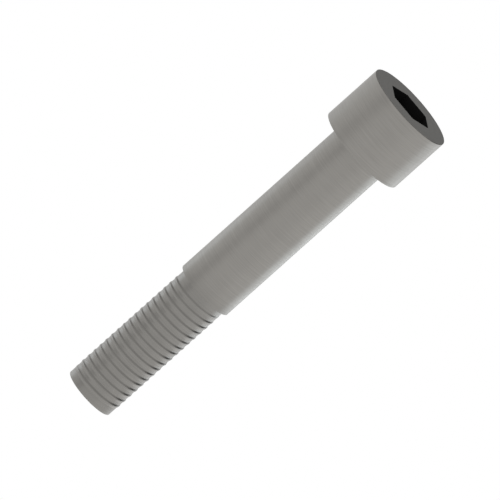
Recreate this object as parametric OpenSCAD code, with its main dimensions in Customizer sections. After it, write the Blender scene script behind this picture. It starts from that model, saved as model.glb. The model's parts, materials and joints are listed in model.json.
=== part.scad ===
// Hex socket cap screw: one forged and turned piece, with a rolled right-hand thread.
// It stands on its head. The origin is the centre of the head's top face and +Z points to the tip.

/* [Head] */
// Diameter of the cylindrical head
head_d = 45; // [40:0.5:60]
// Height of the head, from its top face to its bearing face
head_h = 30; // [24:0.5:45]
// Chamfer on both rims of the head
head_chamfer = 0.4; // [0.2:0.1:1.5]

/* [Hex socket] */
// Width across the flats of the socket
socket_af = 22; // [12:0.5:24]
// Depth of the socket's flats below the head's top face
socket_depth = 15.5; // [8:0.5:18]
// Edge break along the six sides of the socket's mouth
socket_edge = 0.1; // [0.1:0.05:0.6]
// Ledge between the flats and the drilled point at the bottom
socket_ledge = 0.5; // [0.2:0.1:2]
// Full angle of the drilled point
drill_angle = 120; // [100:5:150]

/* [Shank] */
// Diameter of the plain shank
shank_d = 29.8; // [28.5:0.1:36]
// Length of the plain shank, from the bearing face to its shoulder
shank_length = 98; // [40:1:160]
// Fillet between the bearing face and the shank
underhead_fillet = 1; // [0.4:0.1:1.6]
// Chamfer on the shoulder at the end of the shank
shoulder_chamfer = 0.4; // [0.2:0.1:0.6]

/* [Thread] */
// Length of the threaded section, from the shoulder to the tip
threaded_length = 72; // [40:1:120]
// Diameter over the crests of the thread
thread_d = 26.7; // [25:0.1:27.8]
// Height of the ridge from root to crest
thread_depth = 0.3; // [0.2:0.05:1]
// Distance along the axis from one crest to the next
pitch = 3.63; // [3:0.01:5]
// Width of the flat on each crest
crest_width = 0.2; // [0.1:0.05:1.4]
// Width of the ridge at its foot
ridge_width = 2.4; // [1.5:0.05:2.8]
// Plain neck between the shoulder and the start of the thread
neck_length = 2.2; // [0.5:0.1:6]
// Shortest plain point between the end of the thread and the tip
point_length = 1.5; // [1.3:0.1:6]
// Chamfer round the tip
tip_chamfer = 0.4; // [0.2:0.1:1.2]
// Share of a turn over which the ridge rises at its start and fades at its end
run_out = 0.5; // [0.1:0.1:1]
// Direction round the axis in which the thread starts, in degrees
thread_start = 100; // [0:1:359]

/* [Hidden] */
$fn = 96;
steel = "#8a8883";

// Length by which one shape runs into the next, so that they become one solid
bite = 1;

head_r = head_d / 2;
shank_r = shank_d / 2;
shoulder_z = head_h + shank_length;
tip_z = shoulder_z + threaded_length;

socket_corner_r = socket_af / 2 / cos(30);
drill_r = socket_af / 2 - socket_ledge;
drill_h = drill_r / tan(drill_angle / 2);

crest_r = thread_d / 2;
root_r = crest_r - thread_depth;
flank_run = (ridge_width - crest_width) / 2;
thread_z = shoulder_z + neck_length;
turns = floor((threaded_length - neck_length - point_length - ridge_width) / pitch);
facets = 36;
steps = turns * facets;

// The ridge's section, foot to foot: distance along the axis, and share of the full height
ridge = [[0, 0], [flank_run, 1], [flank_run + crest_width, 1], [ridge_width, 0]];
lower_foot = 0;
upper_foot = len(ridge) - 1;

function ring_point(r, step, z) =
    let (angle = thread_start + 360 * step / facets)
    [r * cos(angle), r * sin(angle), z];

function ring(r, z) = [for (step = [0 : facets - 1]) ring_point(r, step, z)];

// Share of the ridge's full height at a step along the helix, zero at its two ends
function rise(step) =
    let (turn = step / facets)
    min(1, turn / run_out, (turns - turn) / run_out);

// One edge of the ridge, followed round the screw from the neck to the point
function helix(edge) = [
    for (step = [0 : steps])
        ring_point(root_r + thread_depth * edge[1] * rise(step), step, thread_z + edge[0] + pitch * step / facets)
];

// Where each ring and each helix starts in the list of points
function on_bottom(step) = step % facets;
function on_helix(edge, step) = facets + edge * (steps + 1) + step;
function on_top(step) = on_helix(len(ridge), 0) + step % facets;
function on_tip(step) = on_top(0) + facets + step % facets;

// Faces are listed clockwise as seen from outside
function fan(loop) = [for (i = [1 : len(loop) - 2]) [loop[0], loop[i], loop[i + 1]]];

function quad(low, high, high_next, low_next) = fan([low, high, high_next, low_next]);

function flatten(lists) = [for (list = lists) each list];

thread_points = concat(
    ring(root_r, shoulder_z - bite),
    flatten([for (edge = ridge) helix(edge)]),
    ring(root_r, tip_z - tip_chamfer),
    ring(root_r - tip_chamfer, tip_z)
);

ridge_faces = [
    for (step = [0 : steps - 1], edge = [lower_foot : upper_foot - 1])
        quad(on_helix(edge, step), on_helix(edge + 1, step),
             on_helix(edge + 1, step + 1), on_helix(edge, step + 1))
];

root_faces = [
    for (step = [0 : steps - facets - 1])
        quad(on_helix(upper_foot, step), on_helix(lower_foot, step + facets),
             on_helix(lower_foot, step + facets + 1), on_helix(upper_foot, step + 1))
];

neck_faces = [
    for (step = [0 : facets - 2])
        quad(on_bottom(step), on_helix(lower_foot, step),
             on_helix(lower_foot, step + 1), on_bottom(step + 1))
];

// The facet of the neck that closes the first turn, with the ridge's four edges on its right side
neck_seam = fan([
    on_bottom(facets - 1),
    on_helix(lower_foot, facets - 1),
    on_helix(lower_foot, facets),
    for (edge = [upper_foot : -1 : lower_foot]) on_helix(edge, 0),
    on_bottom(0)
]);

point_faces = [
    for (step = [1 : facets - 1])
        quad(on_helix(upper_foot, steps - facets + step), on_top(step),
             on_top(step + 1), on_helix(upper_foot, steps - facets + step + 1))
];

// The facet of the point that closes the last turn, with the ridge's four edges on its left side
point_seam = fan([
    on_helix(upper_foot, steps - facets + 1),
    on_helix(upper_foot, steps - facets),
    for (edge = [lower_foot : upper_foot]) on_helix(edge, steps),
    on_top(0),
    on_top(1)
]);

tip_faces = [
    for (step = [0 : facets - 1])
        quad(on_top(step), on_tip(step), on_tip(step + 1), on_top(step + 1))
];

end_faces = concat(
    fan([for (step = [0 : facets - 1]) on_bottom(step)]),
    fan([for (step = [facets - 1 : -1 : 0]) on_tip(step)])
);

// Half section of the head and shank, as they are turned: x is the radius and y the height
module turned_section() {
    polygon([
        [0, 0],
        [head_r - head_chamfer, 0],
        [head_r, head_chamfer],
        [head_r, head_h - head_chamfer],
        [head_r - head_chamfer, head_h],
        [shank_r, head_h],
        [shank_r, shoulder_z - shoulder_chamfer],
        [shank_r - shoulder_chamfer, shoulder_z],
        [0, shoulder_z]
    ]);
}

// Concave corner under the head: a square block less the circle that rounds it
module fillet_section() {
    difference() {
        translate([shank_r - bite, head_h - bite]) square(bite + underhead_fillet);
        translate([shank_r, head_h] + underhead_fillet * [1, 1]) circle(r = underhead_fillet);
    }
}

module head_and_shank() {
    rotate_extrude() {
        union() {
            turned_section();
            fillet_section();
        }
    }
}

// Hex recess with its corners on the X axis, a broken edge at the mouth and a drilled point below
module hex_socket() {
    translate([0, 0, -bite]) cylinder(h = bite + socket_depth, r = socket_corner_r, $fn = 6);
    translate([0, 0, -socket_edge])
        cylinder(h = 3 * socket_edge, r1 = socket_corner_r + 2 * socket_edge, r2 = socket_corner_r - socket_edge, $fn = 6);
    translate([0, 0, socket_depth]) cylinder(h = drill_h, r1 = drill_r, r2 = 0);
}

// Neck, thread and point in one closed surface whose rows follow the helix
module threaded_end() {
    polyhedron(
        points = thread_points,
        faces = concat(
            flatten(ridge_faces), flatten(root_faces), flatten(neck_faces), neck_seam,
            flatten(point_faces), point_seam, flatten(tip_faces), end_faces
        )
    );
}

module cap_screw() {
    color(steel) union() {
        difference() {
            head_and_shank();
            hex_socket();
        }
        threaded_end();
    }
}

cap_screw();
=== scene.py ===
"""Dresses a hex socket cap screw: satin steel, turned, faced and rolled, in a plain pale studio.

The screw stands on its head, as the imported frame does, with +Z to its tip. Lengths are in metres
and angles in degrees, unless a name says otherwise.
"""

from __future__ import annotations

import json
import logging
import math
from dataclasses import dataclass
from enum import Enum
from typing import Any

import bmesh
import bpy
from mathutils import Matrix, Vector

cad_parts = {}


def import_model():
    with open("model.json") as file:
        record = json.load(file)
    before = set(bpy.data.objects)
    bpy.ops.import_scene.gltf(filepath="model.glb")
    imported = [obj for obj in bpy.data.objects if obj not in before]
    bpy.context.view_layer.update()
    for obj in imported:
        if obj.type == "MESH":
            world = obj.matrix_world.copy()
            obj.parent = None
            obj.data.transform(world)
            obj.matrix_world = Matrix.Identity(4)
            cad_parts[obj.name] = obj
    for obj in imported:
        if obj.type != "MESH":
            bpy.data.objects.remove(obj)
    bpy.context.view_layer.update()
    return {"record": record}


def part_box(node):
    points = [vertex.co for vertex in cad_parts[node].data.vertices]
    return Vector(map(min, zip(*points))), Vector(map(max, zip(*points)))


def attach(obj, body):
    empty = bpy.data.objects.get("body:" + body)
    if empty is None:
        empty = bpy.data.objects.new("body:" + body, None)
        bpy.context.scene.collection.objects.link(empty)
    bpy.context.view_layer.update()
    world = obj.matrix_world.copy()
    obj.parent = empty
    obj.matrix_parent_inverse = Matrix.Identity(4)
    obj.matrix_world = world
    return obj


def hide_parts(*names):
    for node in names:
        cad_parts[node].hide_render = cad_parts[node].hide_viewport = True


LOG = logging.getLogger("cap_screw")

MM = 0.001
FULL_TURN = 360.0
NODE = "cap_screw"
BODY = "root"

Colour = tuple[float, float, float]
WHITE: Colour = (1.0, 1.0, 1.0)


def towards(azimuth: float, elevation: float) -> Vector:
    """A direction from the screw, as a unit vector.

    Args:
        azimuth: Its angle round the screw, from -Y towards +X.
        elevation: Its angle above the horizon.

    Returns:
        The direction.
    """
    turn, rise = math.radians(azimuth), math.radians(elevation)
    return Vector((math.sin(turn) * math.cos(rise), -math.cos(turn) * math.cos(rise), math.sin(rise)))


class Finish(Enum):
    """The finishes of the screw, in the order of its material slots. The socket's is painted shade:
    near-black steel for the shade deep in it.
    """

    TURNED = 0
    FACED = 1
    ROLLED = 2
    SOCKET = 3


class Term:
    """One output socket of a node tree. Arithmetic on it adds Math nodes to the tree."""

    def __init__(self, tree: Tree, socket: bpy.types.NodeSocket) -> None:
        """Wraps a socket.

        Args:
            tree: The tree that the socket belongs to.
            socket: The output socket.
        """
        self.tree = tree
        self.socket = socket

    def _maths(self, operation: str, *values: Any) -> Term:
        """Adds a Math node.

        Args:
            operation: The Math node's operation.
            *values: Numbers or terms for its inputs, in order.

        Returns:
            The node's result.
        """
        return self.tree.node("ShaderNodeMath", {"operation": operation}, dict(enumerate(values)))

    def __add__(self, other: Any) -> Term:
        """This plus another."""
        return self._maths("ADD", self, other)

    __radd__ = __add__

    def __sub__(self, other: Any) -> Term:
        """This minus another."""
        return self._maths("SUBTRACT", self, other)

    def __rsub__(self, other: Any) -> Term:
        """Another minus this."""
        return self._maths("SUBTRACT", other, self)

    def __mul__(self, other: Any) -> Term:
        """This times another."""
        return self._maths("MULTIPLY", self, other)

    __rmul__ = __mul__

    def __truediv__(self, other: Any) -> Term:
        """This over another."""
        return self._maths("DIVIDE", self, other)

    def __rtruediv__(self, other: Any) -> Term:
        """Another over this."""
        return self._maths("DIVIDE", other, self)

    def __abs__(self) -> Term:
        """The size of this, without its sign."""
        return self._maths("ABSOLUTE", self)

    def floor(self) -> Term:
        """The whole number below this."""
        return self._maths("FLOOR", self)

    def fraction(self) -> Term:
        """What is left of this above the whole number below it."""
        return self._maths("FRACT", self)

    def sine(self) -> Term:
        """The sine of this, in radians."""
        return self._maths("SINE", self)

    def cosine(self) -> Term:
        """The cosine of this, in radians."""
        return self._maths("COSINE", self)

    def root(self) -> Term:
        """The square root of this."""
        return self._maths("SQRT", self)

    def least(self, other: Any) -> Term:
        """The smaller of this and another."""
        return self._maths("MINIMUM", self, other)

    def most(self, other: Any) -> Term:
        """The larger of this and another."""
        return self._maths("MAXIMUM", self, other)


class Tree:
    """A node tree that is written as expressions."""

    noise_detail: float = 3.0

    def __init__(self, nodes: bpy.types.NodeTree) -> None:
        """Wraps a shader or geometry node tree.

        Args:
            nodes: The tree to add nodes to.
        """
        self.nodes = nodes

    def connect(self, value: Any, socket: bpy.types.NodeSocket) -> None:
        """Sets or links one input.

        Args:
            value: A term to link, or a plain value to set.
            socket: The input socket.
        """
        if isinstance(value, Term):
            self.nodes.links.new(value.socket, socket)
        else:
            socket.default_value = value

    def node(self, kind: str, settings: dict[str, Any], inputs: dict[Any, Any], output: Any = 0) -> Term:
        """Adds any node.

        Args:
            kind: The node's type.
            settings: Its settings, which are set before its inputs.
            inputs: Values or terms for its input sockets, by name or place.
            output: The name or place of the output socket that is wanted.

        Returns:
            That output socket.
        """
        made = self.nodes.nodes.new(kind)
        for name, value in settings.items():
            setattr(made, name, value)
        for name, value in inputs.items():
            self.connect(value, made.inputs[name])
        return Term(self, made.outputs[output])

    def end(self, kind: str, inputs: dict[Any, Any]) -> None:
        """Adds the node that ends the tree.

        Args:
            kind: The node's type.
            inputs: Terms for its input sockets, by name.
        """
        made = self.nodes.nodes.new(kind)
        for name, value in inputs.items():
            self.connect(value, made.inputs[name])

    def output_of(self, term: Term, name: Any) -> Term:
        """Another output socket of the node that a term comes from."""
        return Term(self, term.socket.node.outputs[name])

    def ramp(self, value: Term, start: Any, end: Any, low: Any = 0.0, high: Any = 1.0) -> Term:
        """Goes smoothly from one value to another as a term rises.

        Args:
            value: The term that is read.
            start: Where the ramp starts.
            end: Where it ends.
            low: The result up to the start.
            high: The result past the end.

        Returns:
            The ramp's value.
        """
        return self.node(
            "ShaderNodeMapRange",
            {"interpolation_type": "SMOOTHSTEP", "clamp": True},
            {"Value": value, "From Min": start, "From Max": end, "To Min": low, "To Max": high},
        )

    def noise(self, vector: Term, cell: float) -> Term:
        """Noise from 0 to 1 about a half, whose cells are of one length of the vector.

        Args:
            vector: Where the noise is read.
            cell: The size of its cells.

        Returns:
            The noise.
        """
        return self.node(
            "ShaderNodeTexNoise",
            {},
            {"Vector": vector, "Scale": 1 / cell, "Detail": self.noise_detail},
        )

    def vector(self, x: Any, y: Any, z: Any) -> Term:
        """A vector of three terms or numbers."""
        return self.node("ShaderNodeCombineXYZ", {}, {"X": x, "Y": y, "Z": z})


@dataclass
class ScrewSizes:
    """The screw's sizes. The frame gives the outer ones, and the rest are as in the part."""

    head_r: float
    head_h: float
    shank_r: float
    tip_z: float
    threaded_length: float = 72 * MM
    rim_round: float = 0.25 * MM
    step_round: float = 0.12 * MM
    underhead_fillet: float = 1.0 * MM
    socket_af: float = 22 * MM
    socket_depth: float = 15.5 * MM
    socket_edge: float = 0.1 * MM
    socket_ledge: float = 0.5 * MM
    drill_angle: float = 120.0
    thread_r: float = 13.35 * MM
    thread_depth: float = 0.3 * MM
    pitch: float = 3.63 * MM
    neck_length: float = 2.2 * MM
    turns: int = 18
    thread_start: float = 100.0
    run_out: float = 0.5

    @classmethod
    def of_frame(cls, record: dict[str, Any]) -> ScrewSizes:
        """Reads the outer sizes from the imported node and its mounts.

        Args:
            record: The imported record.

        Returns:
            The screw's sizes.
        """
        mounts = {mount["name"]: mount for mount in record["mounts"]}
        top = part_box(NODE)[1]
        return cls(
            head_r=mounts["head_side"]["dims"]["r_mm"] * MM,
            head_h=mounts["bearing_face"]["pos_m"][2],
            shank_r=mounts["shank"]["dims"]["r_mm"] * MM,
            tip_z=top.z,
        )

    @property
    def shoulder_z(self) -> float:
        """Height of the shoulder at the end of the shank."""
        return self.tip_z - self.threaded_length

    @property
    def root_r(self) -> float:
        """Radius of the neck, the thread's root and the point."""
        return self.thread_r - self.thread_depth

    @property
    def drill_r(self) -> float:
        """Radius of the drilled point at the bottom of the socket."""
        return self.socket_af / 2 - self.socket_ledge

    @property
    def drill_h(self) -> float:
        """Depth of the drilled point below the socket's flats."""
        return self.drill_r / math.tan(math.radians(self.drill_angle / 2))


@dataclass
class RolledThread:
    """The thread, from the shoulder to the rim of the tip, as an open tube made by geometry nodes.

    The rows of its grid follow the helix, so each flank is a clean band of faces.
    """

    sizes: ScrewSizes
    segments: int
    crest_width: float = 0.2 * MM
    flank_run: float = 1.1 * MM
    rows_per_pitch: int = 20
    weld: float = 0.01 * MM

    @property
    def bottom_z(self) -> float:
        """Height of the tube's lower rim, on the shoulder."""
        return self.sizes.shoulder_z

    @property
    def top_z(self) -> float:
        """Height of the tube's upper rim, where the tip's edge starts."""
        return self.sizes.tip_z - self.sizes.rim_round

    def tree(self) -> tuple[bpy.types.NodeTree, dict[str, float]]:
        """Builds the geometry nodes.

        Returns:
            The tree, and the values of its inputs by socket identifier.
        """
        sizes = self.sizes
        ridge_width = self.crest_width + 2 * self.flank_run
        values = {
            "Root radius": sizes.root_r,
            "Ridge height": sizes.thread_depth,
            "Pitch": sizes.pitch,
            "Crest half": self.crest_width / 2,
            "Ridge half": ridge_width / 2,
            "Thread start": sizes.shoulder_z + sizes.neck_length,
            "Start turn": sizes.thread_start / FULL_TURN,
            "Turns": float(sizes.turns),
            "Run out": sizes.run_out,
            "Bottom": self.bottom_z,
            "Top": self.top_z,
        }
        group = bpy.data.node_groups.new("rolled_thread", "GeometryNodeTree")
        group.interface.new_socket("Geometry", in_out="OUTPUT", socket_type="NodeSocketGeometry")
        identifiers = {}
        for name, value in values.items():
            socket = group.interface.new_socket(name, in_out="INPUT", socket_type="NodeSocketFloat")
            identifiers[socket.identifier] = value
        tree = Tree(group)
        first = tree.node("NodeGroupInput", {}, {})
        given = {name: tree.output_of(first, name) for name in values}

        rows = math.ceil(self.rows_per_pitch * ((self.top_z - self.bottom_z) / sizes.pitch + 1))
        grid = tree.node(
            "GeometryNodeMeshGrid",
            {},
            {
                "Size X": float(self.segments),
                "Size Y": float(rows),
                "Vertices X": self.segments + 1,
                "Vertices Y": rows + 1,
            },
        )
        place = tree.node("GeometryNodeInputPosition", {}, {})
        column = tree.node("ShaderNodeSeparateXYZ", {}, {0: place}, "X")
        row = tree.output_of(column, "Y")
        round_turn = (column + self.segments / 2) / self.segments
        along = (row + rows / 2) / self.rows_per_pitch + round_turn - 1
        height = (given["Bottom"] + along * given["Pitch"]).most(given["Bottom"]).least(given["Top"])

        past_start = (round_turn - given["Start turn"]).fraction()
        pitches = (height - given["Thread start"]) / given["Pitch"] - past_start
        turn = pitches.floor() + past_start
        from_crest = abs(pitches.fraction() * given["Pitch"] - given["Ridge half"])
        ridge = tree.ramp(from_crest, given["Crest half"], given["Ridge half"], 1.0, 0.0)
        rise = (turn / given["Run out"]).least((given["Turns"] - turn) / given["Run out"])
        radius = given["Root radius"] + given["Ridge height"] * ridge * rise.most(0.0).least(1.0)
        angle = round_turn * math.tau
        point = tree.vector(radius * angle.cosine(), radius * angle.sine(), height)
        shaped = tree.node("GeometryNodeSetPosition", {}, {"Geometry": grid, "Position": point})
        welded = tree.node("GeometryNodeMergeByDistance", {}, {"Geometry": shaped, "Distance": self.weld})
        real = tree.node("GeometryNodeRealizeInstances", {}, {"Geometry": welded})
        rolled = bpy.data.materials[Finish.ROLLED.name]
        dressed = tree.node("GeometryNodeSetMaterial", {}, {"Geometry": real, "Material": rolled})
        tree.end("NodeGroupOutput", {"Geometry": dressed})
        return group, identifiers

    def build(self) -> bpy.types.Mesh:
        """Runs the tree on an empty mesh.

        Returns:
            The tube, as a plain mesh.
        """
        group, identifiers = self.tree()
        carrier = bpy.data.objects.new("thread_carrier", bpy.data.meshes.new("thread_carrier"))
        bpy.context.scene.collection.objects.link(carrier)
        modifier = carrier.modifiers.new("thread", "NODES")
        modifier.node_group = group
        for identifier, value in identifiers.items():
            modifier[identifier] = value
        graph = bpy.context.evaluated_depsgraph_get()
        mesh = bpy.data.meshes.new_from_object(carrier.evaluated_get(graph), depsgraph=graph)
        carrier.modifiers.remove(modifier)
        bpy.data.objects.remove(carrier)
        LOG.info("thread: %d faces", len(mesh.polygons))
        return mesh


@dataclass(frozen=True)
class Ring:
    """One ring of the screw's surface: its size, its height and the finish of the band above it."""

    radius: float
    height: float
    finish: Finish
    hexagon: bool = False


@dataclass
class ScrewBlank:
    """Head, socket, shank and tip, as bands of faces between rings of equal count.

    A ring at the distance of support from each rounded edge keeps the flat or straight side beside it
    from shading as if it were domed.
    """

    sizes: ScrewSizes
    segments: int
    round_steps: int = 3
    fillet_steps: int = 8
    band_height: float = 7 * MM
    support: float = 0.1 * MM

    def radius_at(self, ring: Ring, angle: float) -> float:
        """How far a ring is from the axis in one direction.

        Args:
            ring: The ring. A hexagon's radius is half its width across the flats.
            angle: The direction, in radians, from a corner of the hexagon.

        Returns:
            The distance.
        """
        if not ring.hexagon:
            return ring.radius
        sixth = math.tau / 6
        return ring.radius / math.cos(angle % sixth - sixth / 2)

    def point_on(self, ring: Ring, angle: float) -> Vector:
        """The point of a ring in one direction, in radians."""
        radius = self.radius_at(ring, angle)
        return Vector((radius * math.cos(angle), radius * math.sin(angle), ring.height))

    def arc(
        self,
        centre: tuple[float, float],
        radius: float,
        span: tuple[float, float],
        steps: int,
        finish: Finish,
    ) -> list[Ring]:
        """Rings along an arc of the screw's half section.

        Args:
            centre: The arc's centre, as radius and height.
            radius: The arc's radius.
            span: Its first and last directions, from outwards towards the tip.
            steps: How many bands it has.
            finish: Their finish.

        Returns:
            The rings, the last one included.
        """
        first, last = span
        turned = [math.radians(first + (last - first) * step / steps) for step in range(steps + 1)]
        out, up = centre
        return [Ring(out + radius * math.cos(a), up + radius * math.sin(a), finish) for a in turned]

    def column(self, radius: float, low: float, high: float) -> list[Ring]:
        """Rings up a plain cylinder, of which the first and last lie just inside its ends.

        Args:
            radius: The cylinder's radius.
            low: Height of its lower end.
            high: Height of its upper end.

        Returns:
            The rings, from the lowest.
        """
        first, last = low + self.support, high - self.support
        count = math.ceil((last - first) / self.band_height)
        heights = [first + (last - first) * step / count for step in range(count + 1)]
        return [Ring(radius, height, Finish.TURNED) for height in heights]

    def lower_rings(self) -> list[Ring]:
        """The rings from the bottom of the socket, over the head and up the shank, to the neck.

        Returns:
            The rings, in order.
        """
        s = self.sizes
        edge = s.rim_round
        half_af = s.socket_af / 2
        rings = [
            Ring(s.drill_r, s.socket_depth, Finish.SOCKET),
            Ring(half_af, s.socket_depth, Finish.SOCKET, hexagon=True),
            Ring(half_af, s.socket_edge, Finish.SOCKET, hexagon=True),
            Ring(half_af + s.socket_edge, 0.0, Finish.FACED, hexagon=True),
            Ring(s.head_r - edge - self.support, 0.0, Finish.FACED),
        ]
        rings += self.arc((s.head_r - edge, edge), edge, (-90, 0), self.round_steps, Finish.TURNED)
        step = s.step_round
        rings += self.column(s.head_r, edge, s.head_h - step)
        corner = (s.head_r - step, s.head_h - step)
        rings += self.arc(corner, step, (0, 90), self.round_steps, Finish.FACED)
        fillet = s.underhead_fillet
        rings += [
            Ring(s.head_r - step - self.support, s.head_h, Finish.FACED),
            Ring(s.shank_r + fillet + self.support, s.head_h, Finish.FACED),
        ]
        corner = (s.shank_r + fillet, s.head_h + fillet)
        rings += self.arc(corner, fillet, (270, 180), self.fillet_steps, Finish.TURNED)
        rings += self.column(s.shank_r, s.head_h + fillet, s.shoulder_z - step)
        corner = (s.shank_r - step, s.shoulder_z - step)
        rings += self.arc(corner, step, (0, 90), self.round_steps, Finish.FACED)
        rings += [
            Ring(s.shank_r - step - self.support, s.shoulder_z, Finish.FACED),
            Ring(s.root_r, s.shoulder_z, Finish.FACED),
        ]
        return rings

    def upper_rings(self) -> list[Ring]:
        """The rings round the edge of the tip, and one just inside it.

        Returns:
            The rings, in order.
        """
        s = self.sizes
        edge = s.rim_round
        corner = (s.root_r - edge, s.tip_z - edge)
        rings = self.arc(corner, edge, (0, 90), self.round_steps, Finish.FACED)
        return rings + [Ring(s.root_r - edge - self.support, s.tip_z, Finish.FACED)]

    def add_bands(self, mesh: bmesh.types.BMesh, rings: list[Ring]) -> list[list[bmesh.types.BMVert]]:
        """Adds the faces between rings that follow each other.

        Args:
            mesh: The mesh to add to.
            rings: The rings, in order.

        Returns:
            The vertices of each ring.
        """
        angles = [math.tau * step / self.segments for step in range(self.segments)]
        loops = [[mesh.verts.new(self.point_on(ring, angle)) for angle in angles] for ring in rings]
        for ring, lower, upper in zip(rings, loops, loops[1:]):
            for step in range(self.segments):
                after = (step + 1) % self.segments
                face = mesh.faces.new((lower[step], lower[after], upper[after], upper[step]))
                face.material_index = ring.finish.value
        return loops

    def close(
        self, mesh: bmesh.types.BMesh, loop: list[bmesh.types.BMVert], height: float, finish: Finish
    ) -> None:
        """Closes a ring with a fan round one point on the axis.

        Args:
            mesh: The mesh to add to.
            loop: The ring's vertices.
            height: The height of the point on the axis.
            finish: The finish of the faces.
        """
        centre = mesh.verts.new((0.0, 0.0, height))
        for step, vertex in enumerate(loop):
            face = mesh.faces.new((vertex, loop[(step + 1) % self.segments], centre))
            face.material_index = finish.value

    def add_to(self, mesh: bmesh.types.BMesh) -> None:
        """Adds the head, socket, shank and tip to a mesh that holds the thread.

        Args:
            mesh: The mesh to add to.
        """
        s = self.sizes
        lower = self.add_bands(mesh, self.lower_rings())
        self.close(mesh, lower[0], s.socket_depth + s.drill_h, Finish.SOCKET)
        upper = self.add_bands(mesh, self.upper_rings())
        self.close(mesh, upper[-1], s.tip_z, Finish.FACED)


@dataclass(frozen=True)
class Steel:
    """Plain satin steel. Its marks run round the screw's axis, on its sides and faces alike.

    It is painted a little darker from one height to another towards the tip: painted shade on the
    threaded end.
    """

    name: str
    colour: Colour
    roughness: float
    darkens_from: float
    darkens_to: float
    painted_end_shade: float = 0.86
    mark_spacing: float = 0.35 * MM
    mark_stretch: float = 50.0
    mark_depth: float = 0.007 * MM
    mark_strength: float = 0.5
    mark_change: float = 0.16
    tone_change: float = 0.05
    roughness_change: float = 0.06
    cloud_size: float = 14 * MM

    @staticmethod
    def about_zero(noise: Term, change: float) -> Term:
        """A noise that runs from 0 to 1, moved to run from minus to plus a change."""
        return (noise - 0.5) * (2 * change)

    def build(self) -> bpy.types.Material:
        """Makes the material.

        Returns:
            The material, named for its finish.
        """
        material = bpy.data.materials.new(self.name)
        material.use_nodes = True
        material.node_tree.nodes.clear()
        tree = Tree(material.node_tree)
        place = tree.node("ShaderNodeTexCoord", {}, {}, "Object")
        x = tree.node("ShaderNodeSeparateXYZ", {}, {0: place}, "X")
        y = tree.output_of(x, "Y")
        z = tree.output_of(x, "Z")
        from_axis = (x * x + y * y).root()
        marks_at = tree.vector(x / self.mark_stretch, y / self.mark_stretch, z + from_axis)
        marks = tree.noise(marks_at, self.mark_spacing)
        clouds = tree.noise(place, self.cloud_size)
        # Painted shade: the colour darkens between darkens_from and darkens_to towards the tip, to shade
        # the threaded end.
        rolled = tree.ramp(z, self.darkens_from, self.darkens_to, 1.0, self.painted_end_shade)
        uneven = self.about_zero(clouds, self.tone_change) + self.about_zero(marks, self.mark_change)
        tone = rolled * (1 + uneven)
        colour = tree.node(
            "ShaderNodeVectorMath",
            {"operation": "SCALE"},
            {0: self.colour, "Scale": tone},
        )
        bump = tree.node(
            "ShaderNodeBump",
            {},
            {"Strength": self.mark_strength, "Distance": self.mark_depth, "Height": marks},
        )
        surface = tree.node(
            "ShaderNodeBsdfPrincipled",
            {},
            {
                "Base Color": colour,
                "Metallic": 1.0,
                "Roughness": self.roughness + self.about_zero(clouds, self.roughness_change),
                "Normal": bump,
            },
        )
        tree.end("ShaderNodeOutputMaterial", {"Surface": surface})
        return material


@dataclass
class CapScrew:
    """The whole screw as one closed mesh."""

    sizes: ScrewSizes
    segments: int = 144
    sharp_angle: float = 35.0
    weld: float = 0.005 * MM
    darkens_before: float = 9 * MM
    darkens_past: float = 3 * MM

    def finishes(self) -> list[Steel]:
        """The screw's finishes. Their colour is painted darker, as shade, from a little before the
        shoulder to a little past it.

        Returns:
            The finishes, in the order of Finish.
        """
        shoulder = self.sizes.shoulder_z
        span = {
            "darkens_from": shoulder - self.darkens_before,
            "darkens_to": shoulder + self.darkens_past,
        }
        return [
            Steel(Finish.TURNED.name, colour=(0.278, 0.268, 0.251), roughness=0.40, **span),
            Steel(Finish.FACED.name, colour=(0.282, 0.278, 0.263), roughness=0.45, **span),
            Steel(Finish.ROLLED.name, colour=(0.277, 0.268, 0.252), roughness=0.36, **span),
            # Painted shade: the socket's steel is near-black for the shade deep in it, not for a dark
            # finish.
            Steel(Finish.SOCKET.name, colour=(0.02, 0.02, 0.02), roughness=0.7, **span),
        ]

    def build(self) -> bpy.types.Object:
        """Builds, dresses and mounts the screw.

        Returns:
            The screw's object.
        """
        materials = [finish.build() for finish in self.finishes()]
        thread = RolledThread(self.sizes, self.segments).build()
        mesh = bmesh.new()
        mesh.from_mesh(thread)
        for face in mesh.faces:
            face.material_index = Finish.ROLLED.value
        ScrewBlank(self.sizes, self.segments).add_to(mesh)
        bmesh.ops.remove_doubles(mesh, verts=mesh.verts, dist=self.weld)
        bmesh.ops.recalc_face_normals(mesh, faces=mesh.faces)
        open_edges = sum(1 for edge in mesh.edges if not edge.is_manifold)
        LOG.info("screw: %d open edges", open_edges)
        data = bpy.data.meshes.new("screw")
        mesh.to_mesh(data)
        mesh.free()
        bpy.data.meshes.remove(thread)
        for material in materials:
            data.materials.append(material)
        data.shade_smooth()
        data.set_sharp_from_angle(angle=math.radians(self.sharp_angle))
        screw = bpy.data.objects.new("screw", data)
        bpy.context.scene.collection.objects.link(screw)
        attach(screw, BODY)
        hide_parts(NODE)
        return screw


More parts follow.
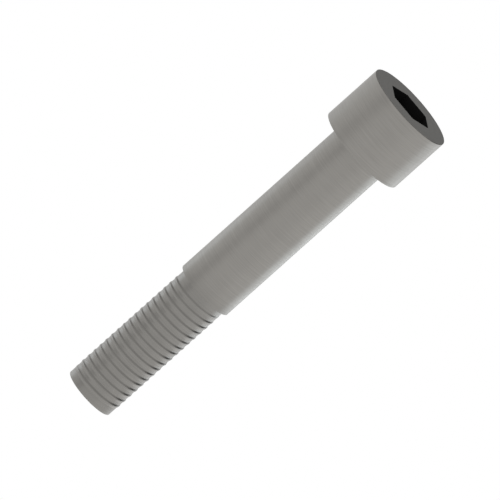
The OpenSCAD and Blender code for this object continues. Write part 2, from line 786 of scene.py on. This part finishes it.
@dataclass
class Floor:
    """A plain pale floor, open under the head and seen through from below."""

    head_r: float
    reach: float = 1.5
    segments: int = 96
    colour: Colour = (0.8, 0.8, 0.79)
    tuck: float = 0.5 * MM

    def material(self) -> bpy.types.Material:
        """Matt and pale from above, and clear from below, where the photo's camera stands.

        Returns:
            The material.
        """
        material = bpy.data.materials.new("pale_floor")
        material.use_nodes = True
        material.node_tree.nodes.clear()
        tree = Tree(material.node_tree)
        from_below = tree.node("ShaderNodeNewGeometry", {}, {}, "Backfacing")
        matt = tree.node("ShaderNodeBsdfDiffuse", {}, {"Color": (*self.colour, 1.0)})
        clear = tree.node("ShaderNodeBsdfTransparent", {}, {})
        surface = tree.node("ShaderNodeMixShader", {}, {0: from_below, 1: matt, 2: clear})
        tree.end("ShaderNodeOutputMaterial", {"Surface": surface})
        return material

    def build(self) -> bpy.types.Object:
        """Makes the floor. It takes the screw's shadow, blocks no light and isn't mirrored in the steel.

        Returns:
            The floor's object.
        """
        mesh = bmesh.new()
        angles = [math.tau * step / self.segments for step in range(self.segments)]
        inner, outer = (
            [mesh.verts.new((radius * math.cos(a), radius * math.sin(a), 0.0)) for a in angles]
            for radius in (self.head_r - self.tuck, self.reach)
        )
        for step in range(self.segments):
            after = (step + 1) % self.segments
            mesh.faces.new((inner[step], outer[step], outer[after], inner[after]))
        data = bpy.data.meshes.new("floor")
        mesh.to_mesh(data)
        mesh.free()
        data.materials.append(self.material())
        floor = bpy.data.objects.new("floor", data)
        floor.visible_shadow = False
        floor.visible_glossy = False
        bpy.context.scene.collection.objects.link(floor)
        return floor


@dataclass(frozen=True)
class Lamp:
    """A soft rectangular lamp. Its grid keeps its light within half its spread of where it points."""

    name: str
    aim: float
    azimuth: float
    elevation: float
    distance: float
    width: float
    height: float
    power: float
    spread: float = 180.0
    colour: Colour = (0.83, 0.93, 1.0)

    def build(self) -> bpy.types.Object:
        """Makes the lamp, facing the point of the screw's axis at the height of its aim.

        Returns:
            The lamp's object.
        """
        data = bpy.data.lights.new(self.name, "AREA")
        data.shape = "RECTANGLE"
        data.size = self.width
        data.size_y = self.height
        data.energy = self.power
        data.spread = math.radians(self.spread)
        data.color = self.colour
        lamp = bpy.data.objects.new(self.name, data)
        out = towards(self.azimuth, self.elevation)
        lamp.location = Vector((0.0, 0.0, self.aim)) + out * self.distance
        lamp.rotation_euler = out.to_track_quat("Z", "Y").to_euler()
        lamp.visible_camera = False
        bpy.context.scene.collection.objects.link(lamp)
        return lamp


@dataclass(frozen=True)
class Patch:
    """A soft round patch of the surround that is brighter or darker than the rest."""

    azimuth: float
    elevation: float
    spread: float
    gain: float

    def factor(self, tree: Tree, direction: Term) -> Term:
        """What the patch multiplies the surround by in one direction.

        Args:
            tree: The world's tree.
            direction: The direction, as a unit vector.

        Returns:
            One outside the patch, and one plus its gain in its middle.
        """
        nearness = tree.node(
            "ShaderNodeVectorMath",
            {"operation": "DOT_PRODUCT"},
            {0: direction, 1: towards(self.azimuth, self.elevation)},
            "Value",
        )
        return tree.ramp(nearness, math.cos(math.radians(self.spread)), 1.0, 1.0, 1 + self.gain)


@dataclass
class Studio:
    """Floor, lamps and a white surround.

    In the steel's reflections, the surround is white above the horizon, and is shaded below it from
    low_back at the back to low_front in front, which is the azimuth called front. The shade changes
    while the direction's share towards the front rises from back_until to front_from, and gives way
    to white while its share upwards rises from low_until to high_from. The patches then brighten or
    darken it.
    """

    sizes: ScrewSizes
    low_back: float = 0.27
    low_front: float = 0.68
    front: float = -5.0
    back_until: float = -0.8
    front_from: float = 0.5
    low_until: float = -0.15
    high_from: float = 0.05

    def surround(self) -> None:
        """Plain white to the camera and on matt surfaces, and softly shaded white in reflections."""
        world = bpy.data.worlds.new("studio")
        bpy.context.scene.world = world
        world.use_nodes = True
        world.node_tree.nodes.clear()
        tree = Tree(world.node_tree)
        glossy = tree.node("ShaderNodeLightPath", {}, {}, "Is Glossy Ray")
        through = tree.output_of(glossy, "Is Transmission Ray")
        camera = tree.output_of(glossy, "Is Camera Ray")
        direction = tree.node("ShaderNodeTexCoord", {}, {}, "Generated")
        up = tree.node("ShaderNodeSeparateXYZ", {}, {0: direction}, "Z")
        above = tree.ramp(up, self.low_until, self.high_from)
        frontness = tree.node(
            "ShaderNodeVectorMath",
            {"operation": "DOT_PRODUCT"},
            {0: direction, 1: towards(self.front, 0)},
            "Value",
        )
        below = tree.ramp(frontness, self.back_until, self.front_from, self.low_back, self.low_front)
        mirrored = above + below * (1 - above)
        for patch in self.patches():
            mirrored = mirrored * patch.factor(tree, direction)
        shaded = glossy.most(through) * (1 - camera)
        strength = 1 + shaded * (mirrored - 1)
        surround = tree.node("ShaderNodeBackground", {}, {"Color": (*WHITE, 1.0), "Strength": strength})
        tree.end("ShaderNodeOutputWorld", {"Surface": surround})

    def patches(self) -> list[Patch]:
        """The soft patches that shade the steel's reflections."""
        return [
            Patch(azimuth=-131, elevation=-12, spread=30, gain=-1.0),
            Patch(azimuth=-138, elevation=17, spread=28, gain=0.45),
            Patch(azimuth=48, elevation=13, spread=22, gain=-0.3),
            Patch(azimuth=-85, elevation=13, spread=45, gain=0.12),
        ]

    def lamps(self) -> list[Lamp]:
        """The lamps: two for the right edges of the head and shank, and one for the left edge.

        The grids of the first two keep their light off the thread, so that its notches stay dark.

        Returns:
            The lamps.
        """
        narrow = {
            "aim": 0.065,
            "elevation": 14,
            "distance": 0.8,
            "width": 0.28,
            "height": 0.12,
            "spread": 26,
        }
        wide = {
            "aim": 0.1,
            "elevation": 18,
            "distance": 0.6,
            "width": 0.3,
            "height": 0.2,
        }
        return [
            Lamp("side", azimuth=-127, power=0.0058, **narrow),
            Lamp("rim", azimuth=-152, power=0.0042, **narrow),
            Lamp("back", azimuth=116, power=0.116, **wide),
        ]

    def build(self) -> list[bpy.types.Object]:
        """Makes the floor, the surround and the lamps.

        Returns:
            The floor's object and the lamps' objects.
        """
        floor = Floor(self.sizes.head_r).build()
        self.surround()
        return [floor] + [lamp.build() for lamp in self.lamps()]


@dataclass
class PhotoCamera:
    """A parallel view along the photo's line of sight, from a little below the screw's head.

    The origin's place in the picture is in pixels, from its upper left corner.
    """

    azimuth: float = -8.3
    elevation: float = -13.24
    roll: float = -131.76
    pixels: int = 500
    pixels_per_metre: float = 2208.0
    origin_x: float = 409.74
    origin_y: float = 106.46
    centre: float = 249.5
    distance: float = 0.8
    nearest: float = 0.01
    farthest: float = 10.0

    def build(self) -> bpy.types.Object:
        """Makes the camera and hands it to the scene.

        Returns:
            The camera's object.
        """
        data = bpy.data.cameras.new("photo_camera")
        data.type = "ORTHO"
        data.ortho_scale = self.pixels / self.pixels_per_metre
        data.clip_start = self.nearest
        data.clip_end = self.farthest
        turn = (
            Matrix.Rotation(math.radians(self.azimuth), 4, "Z")
            @ Matrix.Rotation(math.radians(90 - self.elevation), 4, "X")
            @ Matrix.Rotation(math.radians(self.roll), 4, "Z")
        )
        right, up, back = (turn.col[axis].to_3d() for axis in range(3))
        aside = (self.origin_x - self.centre) / self.pixels_per_metre
        above = (self.centre - self.origin_y) / self.pixels_per_metre
        camera = bpy.data.objects.new("photo_camera", data)
        camera.matrix_world = Matrix.Translation(back * self.distance - right * aside - up * above) @ turn
        bpy.context.scene.collection.objects.link(camera)
        bpy.context.scene.camera = camera
        return camera


def main() -> None:
    """Loads the frame, dresses the screw and lights it."""
    logging.basicConfig(level=logging.INFO, format="%(name)s %(message)s")
    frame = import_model()
    bpy.context.scene.view_settings.view_transform = "Standard"
    sizes = ScrewSizes.of_frame(frame["record"])
    camera = PhotoCamera().build()
    LOG.info("%s: %.0f mm across", camera.name, camera.data.ortho_scale / MM)
    screw = CapScrew(sizes).build()
    LOG.info("%s: %d faces", screw.name, len(screw.data.polygons))
    for piece in Studio(sizes).build():
        LOG.info("studio: %s", piece.name)


if __name__ == "__main__":
    main()
